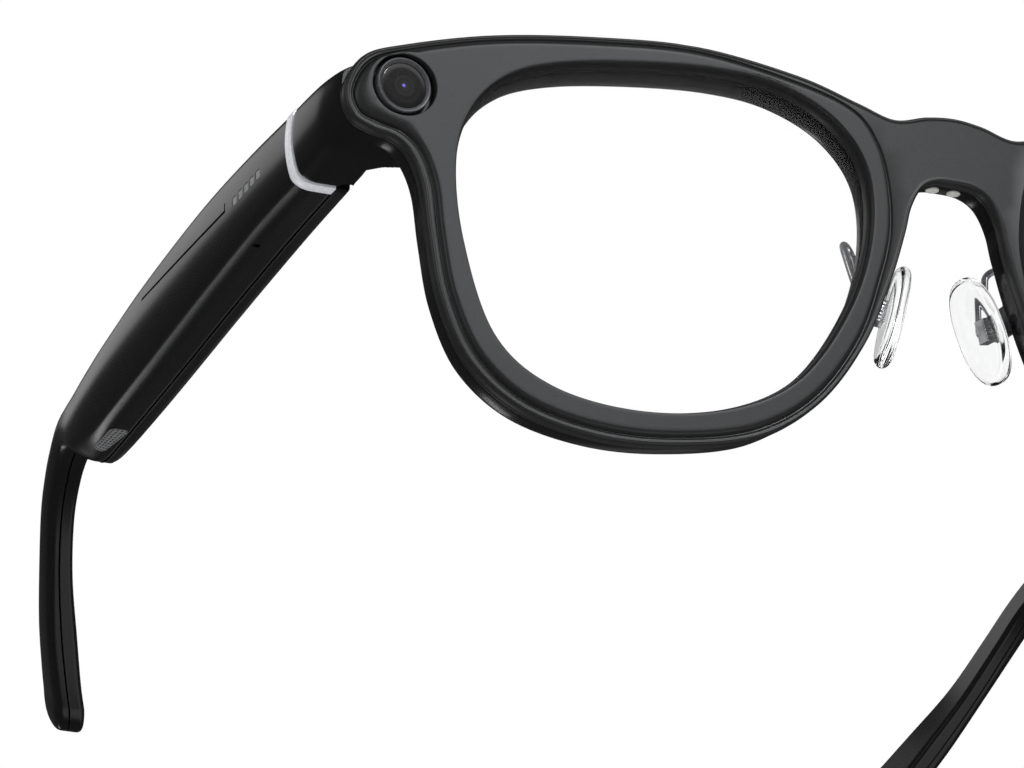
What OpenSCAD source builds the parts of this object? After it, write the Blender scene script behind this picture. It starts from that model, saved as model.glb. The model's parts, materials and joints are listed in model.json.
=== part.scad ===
// Smart glasses with a corner camera, electronics arms and adjustable nose pads.
// +X is the wearer's left, -Y points out of the front, +Z is up; z = 0 is the bottom of the rims.
// Parts are drawn with y = 0 at the front; placed() then centres the depth on the origin.

/* [Front] */
// Width of each lens opening, mm
lens_w = 49.6; // [47:0.1:52]
// Height of each lens opening, mm
lens_h = 42.1; // [39:0.1:44]
// Gap between the two lens openings at the bridge, mm
bridge_gap = 21.2; // [19:0.1:23]
// Radius of the front's sideways wrap, mm
wrap_r = 900; // [600:10:2000]
// Depth of the raised lens surround, mm
plate_t = 0.5; // [0.3:0.05:0.8]
// Thickness of the front shell, mm
shell_t = 1.9; // [1.5:0.1:2.4]
// Depth of the rear frame behind the shell, mm
rear_t = 3.2; // [2.8:0.1:4]
// Thickness of the lenses, mm
lens_t = 1.5; // [1:0.1:1.6]

/* [Camera] */
// Radius of the camera cover glass, mm
window_r = 2.62; // [2:0.02:3]
// Outer radius of the camera trim ring, mm
cam_ring_r = 3.25; // [3.1:0.05:3.4]

/* [Arms] */
// Overall depth from the front to the arm tips, mm
arm_reach = 148.4; // [140:0.5:158]
// Width of the bright trim at the front of each arm, mm
trim_w = 1.8; // [1:0.1:2.5]
// Radius of the hinge barrels, mm
barrel_r = 1.4; // [1.2:0.05:1.5]
// Radius of the hinge screws, mm
screw_r = 0.7; // [0.5:0.05:0.8]

/* [Nose pads] */
// Height of each nose pad, mm
pad_h = 13.4; // [11:0.1:15]
// Width of each nose pad, mm
pad_w = 7.4; // [6:0.1:8.5]
// Radius of the pad wire, mm
wire_r = 0.42; // [0.35:0.01:0.5]

/* [Hidden] */
$fn = 64;
gap = 0.05;
lens_x = bridge_gap / 2 + lens_w / 2;
base_half = 72.9;
front_half = lens_x + lens_w / 2 + 12.7;
half_h = lens_h / 2;
lens_z = 24.75 * half_h / 21.05;
d_plate = plate_t;
d_shell = plate_t + shell_t;
d_rear = d_shell + rear_t;
lens_d0 = d_shell + gap;
groove_over = 0.8;
side_shift = front_half - base_half;
tip_shift = arm_reach - 148.4;
depth_mid = 75.045 + tip_shift / 2;
cam_x = -66.3;
cam_z = lens_z + 13.4;
cam_turn = asin(66.3 / wrap_r);
hinge_x = -67.6;
split_y = 17;
rear_drop = 0.8;
arch_z = lens_z + 12.3 * half_h / 21.05;
hinge_y = split_y + 0.15;
arm_y0 = split_y + 0.3;
knuckle_z0 = lens_z + 8;
knuckle_h = 2;
barrel_room = barrel_r + 0.35;
fold_relief = 1.15;
leaf_y0 = 10.6;
knuckle_gap = 0.15;
knuckle_mid_h = 2.1;
knuckle_z1 = knuckle_z0 + knuckle_h + knuckle_gap;
knuckle_z2 = knuckle_z1 + knuckle_mid_h + knuckle_gap;
knuckle_top = knuckle_z2 + knuckle_h;
parting_x = -68.7;
arm_pitch = 3.9;
steps = 4;

black = [0.05, 0.05, 0.055];
satin = [0.16, 0.165, 0.17];
steel = [0.72, 0.72, 0.74];
dark_steel = [0.2, 0.2, 0.21];
board_green = [0.05, 0.2, 0.12];
gold = [0.8, 0.62, 0.25];
clear = [0.85, 0.9, 0.92, 0.3];

// Smooth closed outlines
function bend(a, b, c, d, t) =
  0.5 * (2 * b + (c - a) * t + (2 * a - 5 * b + 4 * c - d) * t * t
    + (3 * b - a - 3 * c + d) * t * t * t);
function loop(p, n) =
  let (k = len(p))
  [for (i = [0 : k - 1]) for (j = [0 : n - 1])
    bend(p[(i + k - 1) % k], p[i], p[(i + 1) % k], p[(i + 2) % k], j / n)];
function along(p, i) = p[(i + 1) % len(p)] - p[(i + len(p) - 1) % len(p)];
function grow(p, d) =
  [for (i = [0 : len(p) - 1]) let (t = along(p, i)) p[i] + d * [t[1], -t[0]] / norm(t)];
function scaled(p, sx, sz, x0) = [for (q = p) [q[0] * sx + x0, q[1] * sz]];
function mirrored(p) = [for (i = [len(p) - 1 : -1 : 0]) [-p[i][0], p[i][1]]];
function tail(p) = [for (q = p) [q[0] + (q[0] > 100 ? tip_shift : 0), q[1]]];
function swapped(p) = [for (q = p) [q[1], q[0]]];

// Right lens opening, as fractions of its half width and half height
lens_shape = [
  [-1, 0.26], [-0.96, -0.18], [-0.81, -0.68], [-0.54, -0.925], [-0.133, -1],
  [0.3, -0.92], [0.637, -0.694], [0.88, -0.266], [0.992, 0.166], [0.976, 0.556],
  [0.815, 0.817], [0.548, 0.964], [0.242, 1], [-0.145, 0.964], [-0.528, 0.888],
  [-0.774, 0.77], [-0.935, 0.556]
];
// Right half of the front's outline, from the bridge top round to the arch
half_shape = [
  [-3.5, 19.8], [-7.6, 18.8], [-12.2, 20.1], [-19.6, 22.2], [-31.8, 23.7], [-44, 22.9],
  [-56, 21.2], [-66, 18.6], [-70.9, 16.5], [-72.9, 12.4], [-72, 9.2], [-69.7, 7.9],
  [-67.1, 7.2], [-65.3, 5.6], [-63.9, 2.2], [-63, -3.6], [-61.5, -10.8], [-58.2, -17.7],
  [-52.1, -22.5], [-43.3, -24.6], [-34, -24.3], [-24.2, -22], [-16.8, -16.8], [-11.4, -9.1],
  [-8.1, -1], [-6.3, 5], [-5.5, 8.3], [-4.2, 10.8], [-2.4, 11.9]
];
// Raised surround of the right lens
plate_shape = [
  [-12.9, 18.9], [-19.8, 21.1], [-31.8, 22.8], [-44, 22], [-56, 20.3], [-65.8, 17.7],
  [-70.1, 15.8], [-71.9, 12.3], [-71.1, 9.8], [-69.2, 8.9], [-66.3, 8], [-64.1, 6],
  [-62.6, 2.1], [-61.8, -3.6], [-60.3, -10.6], [-57.1, -17.1], [-51.4, -21.6], [-43.1, -23.6],
  [-34.2, -23.4], [-24.8, -21.2], [-17.6, -16.3], [-12.3, -8.7], [-9.6, -1],
  [-8.3, 5], [-8.6, 11], [-10, 15.6]
];
// Side profile of an arm as y, z above the lens centre, with its ear hook
arm_side = [
  [0, 16.6], [17, 16.4], [40, 16.6], [57, 16.1], [73, 14.8], [87, 13], [100, 11.2],
  [108, 9.9], [115.5, 8.1], [123, 4.4], [131, -2], [139, -8.6], [145, -13.6],
  [149.2, -17.2], [150, -19.4], [148.2, -21.5], [144.9, -21.3], [138.6, -15.6],
  [130, -7.6], [121.5, 0.2], [115.5, 4.4], [110, 5.6], [106.5, 4], [103.5, 1.3],
  [99, 0.8], [90, 1.4], [74, 2.5], [60, 3.7], [46, 4.9], [30, 6], [17, 6.3], [0, 7.2]
];
// Plan of an arm as y, x
arm_plan = [
  [0, -72.2], [9, -73.5], [18, -74.3], [40, -74.6], [70, -74.6], [90, -74.3], [105, -73.4],
  [116, -71.7], [126, -69.4], [136, -66.3], [144, -62.9], [150.4, -59.7], [151, -57.2],
  [149, -56.6], [143.6, -59], [135, -62.7], [126, -65.7], [116, -67.6], [105, -67.3],
  [90, -66.9], [60, -66.9], [18, -67], [0, -67]
];
// Middle of the hook's thickness, where its two halves part, as y, x
parting = [
  [0, parting_x], [106, parting_x], [116, -69.6], [126, -67.5], [135.5, -64.5],
  [144, -60.8], [150, -58.2], [160, -53.4]
];

opening = loop(scaled(lens_shape, lens_w / 2, half_h, -lens_x), steps);
front_right = scaled(half_shape, front_half / base_half, half_h / 21.05, 0);
front_pts = concat([[0, 20.2 * half_h / 21.05]], front_right,
  [[0, 12.1 * half_h / 21.05]], mirrored(front_right));
front_line = loop(front_pts, 3);
plate_line = loop(scaled(plate_shape, front_half / base_half, half_h / 21.05, 0), 3);
arm_side_line = loop(tail(arm_side), 3);
arm_plan_line = loop(tail(arm_plan), 3);

module upright(p, y0 = -3, y1 = 22)
  translate([0, y1, lens_z]) rotate([90, 0, 0]) linear_extrude(height = y1 - y0) polygon(p);

module wrapped(d0, d1)
  translate([0, wrap_r, -5]) difference() {
    cylinder(h = 70, r = wrap_r - d0, $fn = 240);
    translate([0, 0, -1]) cylinder(h = 72, r = wrap_r - d1, $fn = 240);
  }

module layer(p, d0, d1) intersection() {
  upright(p);
  wrapped(d0, d1);
}

module on_side() translate([-side_shift, 0, 0]) children();
module both() {
  children();
  mirror([1, 0, 0]) children();
}
module left_of() mirror([1, 0, 0]) children();
module placed() translate([0, -depth_mid, 0]) children();

// Local frame on the right corner: z out of the front face
module at_camera()
  on_side() translate([cam_x, wrap_r - sqrt(wrap_r * wrap_r - cam_x * cam_x), cam_z])
    rotate([0, 0, -cam_turn]) rotate([90, 0, 0]) children();

// Box given by its two corners
module block(a, b) translate(a) cube(b - a);

module hinge_clearance() translate([hinge_x, hinge_y, knuckle_z0 - 0.3])
  cylinder(h = knuckle_top - knuckle_z0 + 1.5, r = barrel_room);

module hinge_screw_hole(r, z0, z1) translate([hinge_x, hinge_y, z0]) cylinder(h = z1 - z0, r = r);

// Whole arm envelope, grown by g
module arm_envelope(g = 0) intersection() {
  translate([-90, 0, lens_z]) rotate([90, 0, 90]) linear_extrude(height = 50)
    polygon(grow(arm_side_line, -g));
  linear_extrude(height = 70) polygon(grow(swapped(arm_plan_line), g));
  union() {
    arm_round(g);
    block([-80, 104, -5], [-50, 175, 60]);
  }
}

// Outer corner of the arm's top, along a line that falls by slope degrees
module arm_top(y, z, slope, g) translate([0, y, lens_z + z]) rotate([-slope, 0, 0])
  rotate([90, 0, 0]) linear_extrude(height = 260, center = true) union() {
    translate([-71, -3.4]) circle(r = 3.4 + g, $fn = 48);
    translate([-71, -30]) square([14, 30 + g]);
    translate([-85, -30]) square([20, 26.6]);
  }

// Bulged outer face and rounded outer corners of the thick part
module arm_round(g = 0) intersection() {
  translate([-64.6, -4, lens_z + 12.9]) rotate([-90 - 3.4, 0, 0])
    cylinder(h = 125, r = 10.1 + g, $fn = 96);
  arm_top(17, 16.8, 0.7, g);
  arm_top(57, 16.2, 6.5, g);
  translate([0, -4, lens_z + 7.2]) rotate([-arm_pitch, 0, 0]) rotate([-90, 0, 0])
    linear_extrude(height = 125) union() {
      translate([-71.6, -2.6]) circle(r = 2.9 + g, $fn = 48);
      translate([-71.6, -2.6]) square([12, 2.9 + g]);
      translate([-80, -20]) square([25, 17.4]);
    }
}

module slab(y0, y1) block([-90, y0, -5], [-40, y1, 60]);

module inner_side(o) translate([o, 0, -5]) linear_extrude(height = 70)
  polygon(concat([for (q = parting) [q[1], q[0] + (q[0] > 100 ? tip_shift : 0)]],
    [[-40, 160 + tip_shift], [-40, 0]]));

module arm_room(g = 0) translate([-72.5 - g, 0, lens_z]) rotate([90, 0, 90])
  linear_extrude(height = 3.85 + 2 * g) polygon(grow(
    [[24, 8.1], [48, 6.4], [76, 3.9], [97, 2.2], [97, 8], [87, 9.6], [73, 11.4], [57, 12.9],
    [40, 13.8], [24, 14.5]], g));

// ---- Front ----
module front_plate() placed() color(satin) difference() {
  union() {
    layer(front_line, d_plate, d_shell);
    both() layer(plate_line, 0, d_plate + 0.01);
  }
  both() upright(opening);
  at_camera() translate([0, 0, -1.5]) cylinder(h = 6, r = cam_ring_r + 0.4);
  at_camera() translate([0, 0, -6]) cylinder(h = 6, r = 2.45);
  left_of() at_camera() translate([0, 0, -6]) cylinder(h = 10, r = 0.9);
}

module rear_frame() placed() color(black) difference() {
  union() {
    layer(grow(front_line, -0.3), d_shell, d_rear);
    both() on_side() endpiece();
    block([-2.9, d_shell + 0.01, arch_z], [2.9, d_rear - 0.5, arch_z + 3]);
  }
  both() translate([0.4, 0, -rear_drop]) upright(grow(opening, -0.1));
  both() layer(grow(opening, groove_over), d_shell - 1, lens_d0 + lens_t + gap);
  both() on_side() {
    block([-69.1, leaf_y0 - 0.1, knuckle_z0 - 0.05], [-67.8, split_y + 1, knuckle_top + 0.05]);
    block([-72.4, 8.6, lens_z + 9], [-69.7, 16, lens_z + 14.2]);
    hinge_clearance();
  }
  at_camera() translate([0, 0, -6.3]) cylinder(h = 6, r = 2.5);
  at_camera() block([-3, -3.1, -7.2], [3, 2.8, -6.2]);
  left_of() at_camera() translate([0, 0, -5.2]) cylinder(h = 5, r = 1);
  both() translate([-1.35, d_shell + 1.45, arch_z - 2]) cylinder(h = 5, r = 0.86);
  block([-3.1, d_shell + 0.5, arch_z + 2], [3.1, d_shell + 2.4, arch_z + 3.15]);
  both() pad_clip_seat(gap);
}

module endpiece() difference() {
  intersection() {
    arm_envelope();
    slab(d_shell, split_y);
    wrapped(d_shell, 30);
    linear_extrude(height = 60)
      polygon([[-80, 2.4], [-80, 18], [-67, 18], [-66.9, 12.4], [-65.4, 11.2], [-62.2, 10.5],
      [-59.4, 8], [-58.6, 2.4]]);
  }
  translate([hinge_x, hinge_y, 0]) cylinder(h = 70, r = fold_relief);
}

module lens_right() placed() color(clear)
  layer(grow(opening, groove_over - gap), lens_d0, lens_d0 + lens_t);
module lens_left() left_of() lens_right();

// ---- Camera ----
module camera_ring() placed() color(dark_steel) at_camera() difference() {
  translate([0, 0, -1.45]) cylinder(h = 1.35, r = cam_ring_r);
  translate([0, 0, -2]) cylinder(h = 3, r = window_r + 0.05);
}
module camera_window() placed() color(black) at_camera()
  translate([0, 0, -1.2]) cylinder(h = 0.95, r = window_r);
module camera_barrel() placed() color(black) at_camera() {
  translate([0, 0, -3.6]) cylinder(h = 2.35, r = 1.7);
  translate([0, 0, -6.2]) cylinder(h = 2.65, r = 2.35);
}
module camera_board() placed() color(board_green) at_camera() block([-2.9, -3, -7.1], [2.9, 2.7, -6.25]);
module status_light() placed() color([0.9, 0.92, 0.9, 0.6]) left_of() at_camera()
  translate([0, 0, -3.2]) cylinder(h = 3.1, r = 0.85);

// ---- Charging contacts ----
module contact_pin() translate([-1.35, d_shell + 1.45, arch_z - 0.15])
  cylinder(h = 2.2, r = 0.8);
module charging_contact_right() placed() color(steel) contact_pin();
module charging_contact_left() placed() color(steel) left_of() contact_pin();
module contact_board() placed() color(board_green)
  block([-3, d_shell + 0.6, arch_z + 2.1], [3, d_shell + 2.3, arch_z + 3.1]);

// ---- Nose pads ----
pad_pos = [-5.5, 5.8, lens_z - 3.2];
pad_tilt = 14;
pad_splay = 12;
clip_a = [-9.9, d_rear - 0.9, lens_z - 2.8];
clip_b = [-8.6, d_rear + 1.9, lens_z + 0.6];
module pad_frame() translate(pad_pos) rotate([0, pad_tilt, 0]) rotate([0, 0, -pad_splay]) children();
module pad_slice(w, h, x0, t) translate([x0, 0, 0]) rotate([90, 0, 90])
  linear_extrude(height = t) scale([w / h, 1]) circle(r = h / 2, $fn = 72);
module pad_body() pad_frame() difference() {
  union() {
    pad_slice(pad_w - 0.6, pad_h - 0.6, -0.95, 0.4);
    pad_slice(pad_w, pad_h, -0.55, 1.1);
    pad_slice(pad_w - 0.6, pad_h - 0.6, 0.55, 0.35);
  }
  pad_slice(pad_w - 2.6, pad_h - 2.6, 0.4, 1);
  block([-1.5, -1, -1.5], [-0.2, 1, 1.5]);
}
module pad_mount() pad_frame() difference() {
  block([-2.6, -0.9, -1.4], [-0.25, 0.9, 1.4]);
  for (i = [-1 : 1]) block([-2.2, 0.7, i * 0.9 - 0.2], [-1, 1, i * 0.9 + 0.2]);
  translate([pin_x, -2, 0]) rotate([-90, 0, 0]) cylinder(h = 4, r = wire_r + 0.06);
}
module pad_clip_seat(g) block(clip_a - [g, g, g], clip_b + [g, 4, g]);
module clip_body() difference() {
  block(clip_a, clip_b);
  wire_frame() translate([loop_r, 0, -leg_a - 0.05]) cylinder(h = 6, r = wire_r + 0.02);
}

// Looped wire: two parallel legs along leg_dir joined by a half turn, then the pin the pad rocks on
function turn_z(v, a) = [v[0] * cos(a) - v[1] * sin(a), v[0] * sin(a) + v[1] * cos(a), v[2]];
function turn_y(v, a) = [v[0] * cos(a) + v[2] * sin(a), v[1], v[2] * cos(a) - v[0] * sin(a)];
function in_pad(v) = pad_pos + turn_y(turn_z(v, -pad_splay), pad_tilt);
leg_dir = [-0.155, 0.27, 0.95] / norm([-0.155, 0.27, 0.95]);
pin_x = -2.1;
pin_reach = 1.75;
foot_a = [-9.4, 6.9, lens_z - 0.5];
foot_b = in_pad([pin_x, pin_reach, 0]);
leg_a = 5.9;
leg_b = leg_a + (foot_a - foot_b) * leg_dir;
top_a = foot_a + leg_a * leg_dir;
top_b = foot_b + leg_b * leg_dir;
loop_r = norm(top_a - top_b) / 2;
lean = acos(leg_dir[2]);
swing = atan2(leg_dir[1], leg_dir[0]);
spin = atan2((top_a - top_b) * [-sin(swing), cos(swing), 0],
  (top_a - top_b) * [cos(swing) * cos(lean), sin(swing) * cos(lean), -sin(lean)]);
module wire_frame() translate((top_a + top_b) / 2) rotate([0, lean, swing]) rotate([0, 0, spin]) children();
module wire() {
  wire_frame() {
    rotate([90, 0, 0]) rotate_extrude(angle = 180) translate([loop_r, 0]) circle(r = wire_r);
    translate([loop_r, 0, -leg_a]) cylinder(h = leg_a, r = wire_r);
    translate([-loop_r, 0, -leg_b]) cylinder(h = leg_b, r = wire_r);
  }
  translate(foot_b) sphere(r = 0.58);
  pad_frame() translate([pin_x, -0.9, 0]) rotate([-90, 0, 0]) cylinder(h = 0.9 + pin_reach, r = wire_r);
}

module pad_clip_right() placed() color(dark_steel) clip_body();
module pad_clip_left() placed() color(dark_steel) left_of() clip_body();
module pad_arm_right() placed() color(steel) wire();
module pad_arm_left() placed() color(steel) left_of() wire();
module pad_mount_right() placed() color(steel) pad_mount();
module pad_mount_left() placed() color(steel) left_of() pad_mount();
module nose_pad_right() placed() color(clear) pad_body();
module nose_pad_left() placed() color(clear) left_of() pad_body();

// ---- Hinges ----
module hinge_frame() on_side() difference() {
  union() {
    for (z = [knuckle_z0, knuckle_z2]) {
      translate([hinge_x, hinge_y, z]) cylinder(h = knuckle_h, r = barrel_r);
      block([-69, 14, z], [-67.85, hinge_y, z + knuckle_h]);
    }
    block([-69, leaf_y0, knuckle_z0], [-67.85, 14.4, knuckle_top]);
  }
  hinge_screw_hole(screw_r + gap, knuckle_z0 - 1, knuckle_top + 1);
}
module hinge_screw() on_side() {
  hinge_screw_hole(screw_r, knuckle_z0, knuckle_top);
  difference() {
    hinge_screw_hole(1.2, knuckle_top, knuckle_top + 0.6);
    translate([hinge_x - 2, hinge_y - 0.15, knuckle_top + 0.3]) cube([4, 0.3, 1]);
  }
}
module hinge_leaf(g = 0) {
  block([-69 - g, hinge_y, knuckle_z1 - g], [-67.85 + g, 22, knuckle_z1 + knuckle_mid_h + g]);
  block([-69 - g, 20.2 - g, knuckle_z0 + 0.2 - g], [-67.85 + g, 26.5 + g, knuckle_top - 0.6 + g]);
}
module hinge_arm() on_side() difference() {
  union() {
    translate([hinge_x, hinge_y, knuckle_z1]) cylinder(h = knuckle_mid_h, r = barrel_r);
    hinge_leaf();
  }
  hinge_screw_hole(screw_r + gap, knuckle_z0, knuckle_top);
}
module hinge_frame_right() placed() color(dark_steel) hinge_frame();
module hinge_frame_left() placed() color(dark_steel) left_of() hinge_frame();
module hinge_screw_right() placed() color(steel) hinge_screw();
module hinge_screw_left() placed() color(steel) left_of() hinge_screw();
module hinge_arm_right() placed() color(dark_steel) hinge_arm();
module hinge_arm_left() placed() color(dark_steel) left_of() hinge_arm();

// ---- Arms ----
module trim() on_side() difference() {
  intersection() {
    arm_envelope(0.12);
    slab(arm_y0, arm_y0 + trim_w);
  }
  arm_envelope(-0.9);
  inner_side(-0.05);
}
grille_y0 = 85.5;
grille_y1 = 98;
module grille_zone(g = 0) translate([0, 0, lens_z + 7.2]) rotate([-arm_pitch, 0, 0])
  block([-73.2 - g, grille_y0 - g, -6], [-69.4 + g, grille_y1 + g, 1.1 + g]);
module shell() on_side() difference() {
  intersection() {
    arm_envelope();
    union() {
      slab(arm_y0 + trim_w + gap, 175);
      intersection() {
        slab(arm_y0, arm_y0 + trim_w + 1);
        arm_envelope(-0.95);
      }
    }
  }
  inner_side(0);
  arm_room();
  hinge_clearance();
  hinge_leaf(gap);
  grille_zone(gap);
  tip_strip(gap);
  translate([-70.6, 35.4, lens_z + 8.6]) rotate([0, 215, 0]) cylinder(h = 6, r = 0.42);
}
module cover() on_side() difference() {
  intersection() {
    arm_envelope();
    slab(arm_y0, 175);
    inner_side(gap);
  }
  hinge_clearance();
  hinge_leaf(gap);
  tip_strip(gap);
}
// Spring strip inside the ear hook
tip_side = [[102, 6], [112, 6.2], [121, 2.2], [130, -4.9], [141, -14.6]];
tip_plan = [[102, -70], [112, -69.8], [121, -68.8], [130, -66.4], [141, -62.2]];
function strip(p, a) = concat(p, [for (i = [len(p) - 1 : -1 : 0]) p[i] + [0, a]]);
module tip_strip(g = 0) intersection() {
  translate([-90, 0, lens_z - 0.6 - g]) rotate([90, 0, 90]) linear_extrude(height = 50)
    polygon(strip(tail(tip_side), 1.2 + 2 * g));
  translate([-0.4 - g, 0, 0]) linear_extrude(height = 70)
    polygon(swapped(strip(tail(tip_plan), 0.8 + 2 * g)));
}
module pitched(y, z) translate([0, y, lens_z + z]) rotate([-arm_pitch, 0, 0]) children();
module arm_board() on_side() pitched(26, 8.8) block([-70, 0, 0], [-69.1, 28, 4.2]);
module battery() on_side() pitched(56.5, 6.3) block([-72.3, 0, 0], [-69, 25, 4.6]);
module speaker() on_side() pitched(84.5, 3.7) block([-72.2, 0, 0], [-69, 10.5, 4.2]);
module microphone() on_side() pitched(33.4, 7.7) block([-72.1, 0, 0], [-70.1, 3, 1]);
module grille() on_side() difference() {
  intersection() {
    arm_envelope();
    grille_zone();
  }
  translate([0, 0, lens_z + 7.2]) rotate([-arm_pitch, 0, 0])
    for (i = [0 : 2]) for (j = [0 : 9])
      translate([-71.4 + i * 0.75, grille_y0 + 1.7 + j * 1, -2]) cylinder(h = 6, r = 0.24, $fn = 16);
}
module trim_ring_right() placed() color(steel) trim();
module trim_ring_left() placed() color(steel) left_of() trim();
module arm_shell_right() placed() color(black) difference() {
  shell();
  on_side() {
    light_slots(0.03);
    touch_groove(0.03);
    button_body(0.12, 0);
    button_body(0.12, -0.6);
  }
}
module arm_shell_left() placed() color(black) left_of() shell();
module arm_cover_right() placed() color(satin) cover();
module arm_cover_left() placed() color(satin) left_of() cover();
module tip_core_right() placed() color(steel) on_side() tip_strip();
module tip_core_left() placed() color(steel) left_of() on_side() tip_strip();
module arm_board_right() placed() color(board_green) arm_board();
module arm_board_left() placed() color(board_green) left_of() arm_board();
module battery_right() placed() color(steel) battery();
module battery_left() placed() color(steel) left_of() battery();
module speaker_right() placed() color(black) speaker();
module speaker_left() placed() color(black) left_of() speaker();
module microphone_right() placed() color(gold) microphone();
module microphone_left() placed() color(gold) left_of() microphone();
module speaker_grille_right() placed() color(steel) grille();
module speaker_grille_left() placed() color(steel) left_of() grille();

// Five light bars and the touch strip on the right arm's outer face
bar_pitch = 1.95;
module light_slots(g = 0) for (i = [0 : 4])
  block([-76, 27.9 + i * bar_pitch - g, lens_z + 10.6 - i * 0.07 - g],
    [-73.6 + g, 28.85 + i * bar_pitch + g, lens_z + 12.5 - i * 0.07 + g]);
module touch_groove(g = 0) translate([-76, 0, lens_z]) rotate([90, 0, 90])
  linear_extrude(height = 2.1) polygon(grow(
    [[39.2, 11], [70.5, 11], [70.5, 11.3], [39.5, 11.3], [39.5, 12.1], [39.2, 12.1]], g));
module light_bars() placed() color([0.75, 0.76, 0.78]) on_side() intersection() {
  arm_envelope();
  light_slots();
}
module touch_strip() placed() color(dark_steel) on_side() intersection() {
  arm_envelope(-0.15);
  touch_groove();
}

// Capture button let into the top of the right arm
button_y0 = 24.3;
button_y1 = 32.2;
module button_body(g, lift) translate([0, 0, lens_z + 16.4]) rotate([-1.6, 0, 0])
  block([-72.4 - g, button_y0 - g, -1.3 + lift], [-69.6 + g, button_y1 + g, 0.62 + lift]);
module capture_button() placed() color(satin) on_side() button_body(0, 0);

front_plate();
rear_frame();
lens_right();
lens_left();
camera_ring();
camera_window();
camera_barrel();
camera_board();
status_light();
charging_contact_right();
charging_contact_left();
contact_board();
pad_clip_right();
pad_clip_left();
pad_arm_right();
pad_arm_left();
pad_mount_right();
pad_mount_left();
nose_pad_right();
nose_pad_left();
hinge_frame_right();
hinge_frame_left();
hinge_screw_right();
hinge_screw_left();
hinge_arm_right();
hinge_arm_left();
trim_ring_right();
trim_ring_left();
arm_shell_right();
arm_shell_left();
arm_cover_right();
arm_cover_left();
tip_core_right();
tip_core_left();
arm_board_right();
arm_board_left();
battery_right();
battery_left();
speaker_right();
speaker_left();
microphone_right();
microphone_left();
speaker_grille_right();
speaker_grille_left();
light_bars();
touch_strip();
capture_button();
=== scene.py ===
"""Smart glasses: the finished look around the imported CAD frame. All shapes are worked out in millimetres
with the lens centre as the height zero and the front face as the depth zero, then written in metres."""
import json
import math

import bmesh
import bpy
import numpy as np
from mathutils import Matrix, Vector
from mathutils.geometry import delaunay_2d_cdt


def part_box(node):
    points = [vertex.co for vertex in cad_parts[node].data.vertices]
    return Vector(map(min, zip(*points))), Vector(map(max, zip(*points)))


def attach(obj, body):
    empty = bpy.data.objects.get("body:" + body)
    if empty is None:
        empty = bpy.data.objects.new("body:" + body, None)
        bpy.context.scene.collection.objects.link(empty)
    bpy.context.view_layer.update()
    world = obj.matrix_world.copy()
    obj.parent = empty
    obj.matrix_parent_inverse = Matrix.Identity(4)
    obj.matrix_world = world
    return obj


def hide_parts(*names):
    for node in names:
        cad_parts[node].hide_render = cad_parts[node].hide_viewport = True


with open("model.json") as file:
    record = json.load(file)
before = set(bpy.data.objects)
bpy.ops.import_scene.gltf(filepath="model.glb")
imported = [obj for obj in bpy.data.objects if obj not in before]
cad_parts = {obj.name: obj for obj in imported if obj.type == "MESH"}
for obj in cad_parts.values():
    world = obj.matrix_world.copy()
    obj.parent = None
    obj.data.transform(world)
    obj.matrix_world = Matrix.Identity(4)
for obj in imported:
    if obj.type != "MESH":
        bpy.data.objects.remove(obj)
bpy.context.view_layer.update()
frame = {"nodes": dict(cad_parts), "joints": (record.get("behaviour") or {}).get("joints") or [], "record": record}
MM = 0.001
plate_lo, plate_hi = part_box("front_plate")
lens_lo, lens_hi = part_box("lens_right")
Y0 = plate_lo.y / MM - 0.04            # depth zero: the foremost line of the front
ZC = (lens_lo.z + lens_hi.z) / 2 / MM  # height zero: the middle of the lens
WRAP = 900.0                           # radius of the front's sideways wrap
LENS = 35.4                            # from the middle of the bridge to the middle of a lens
SIDES = {"right": 1, "left": -1}
WELD, SLIVER = 2e-6, 1e-7              # metres: points this close are one, edges this short go


# -------- meshes
def metres(points):
    """Model points in mm, measured from the depth and height zeros, as metres in the row frame."""
    p = np.asarray(points, float).reshape(-1, 3)
    return (p + [0, Y0, ZC]) * MM


class Build:
    """Collects faces in mm and welds them into one piece."""

    def __init__(self):
        self.points, self.faces, self.count = [], [], 0

    def add(self, points, faces):
        points = np.asarray(points, float).reshape(-1, 3)
        self.faces += [[i + self.count for i in f] for f in faces]
        self.points.append(points)
        self.count += len(points)
        return self

    def grid(self, rows, close_u=True, close_v=False):
        """rows: list of equally long point rows, joined by quads."""
        rows = [np.asarray(r, float) for r in rows]
        n, m = len(rows[0]), len(rows)
        faces = []
        for j in range(m if close_v else m - 1):
            k = (j + 1) % m
            for i in range(n if close_u else n - 1):
                h = (i + 1) % n
                faces.append((j * n + i, j * n + h, k * n + h, k * n + i))
        return self.add(np.concatenate(rows), faces)

    def cap(self, row):
        """Closes a loop with a fan from its middle."""
        row = np.asarray(row, float)
        n = len(row)
        return self.add(np.vstack([row, row.mean(0)]), [(i, (i + 1) % n, n) for i in range(n)])

    def loft(self, rows):
        """A closed solid: rows of points joined by quads, with both ends capped."""
        self.grid(rows)
        self.cap(rows[0])
        return self.cap(rows[-1])

    def mesh(self, name, mirror=1):
        points = metres(np.concatenate(self.points) * [mirror, 1, 1])
        data = bpy.data.meshes.new(name)
        data.from_pydata([tuple(p) for p in points], [], self.faces)
        bm = bmesh.new()
        bm.from_mesh(data)
        bmesh.ops.remove_doubles(bm, verts=bm.verts, dist=WELD)
        bmesh.ops.dissolve_degenerate(bm, edges=bm.edges, dist=SLIVER)
        bmesh.ops.recalc_face_normals(bm, faces=bm.faces)
        bm.to_mesh(data)
        bm.free()
        return data


def linked(name, data):
    """A new object in the scene."""
    obj = bpy.data.objects.new(name, data)
    bpy.context.scene.collection.objects.link(obj)
    return obj


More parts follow.
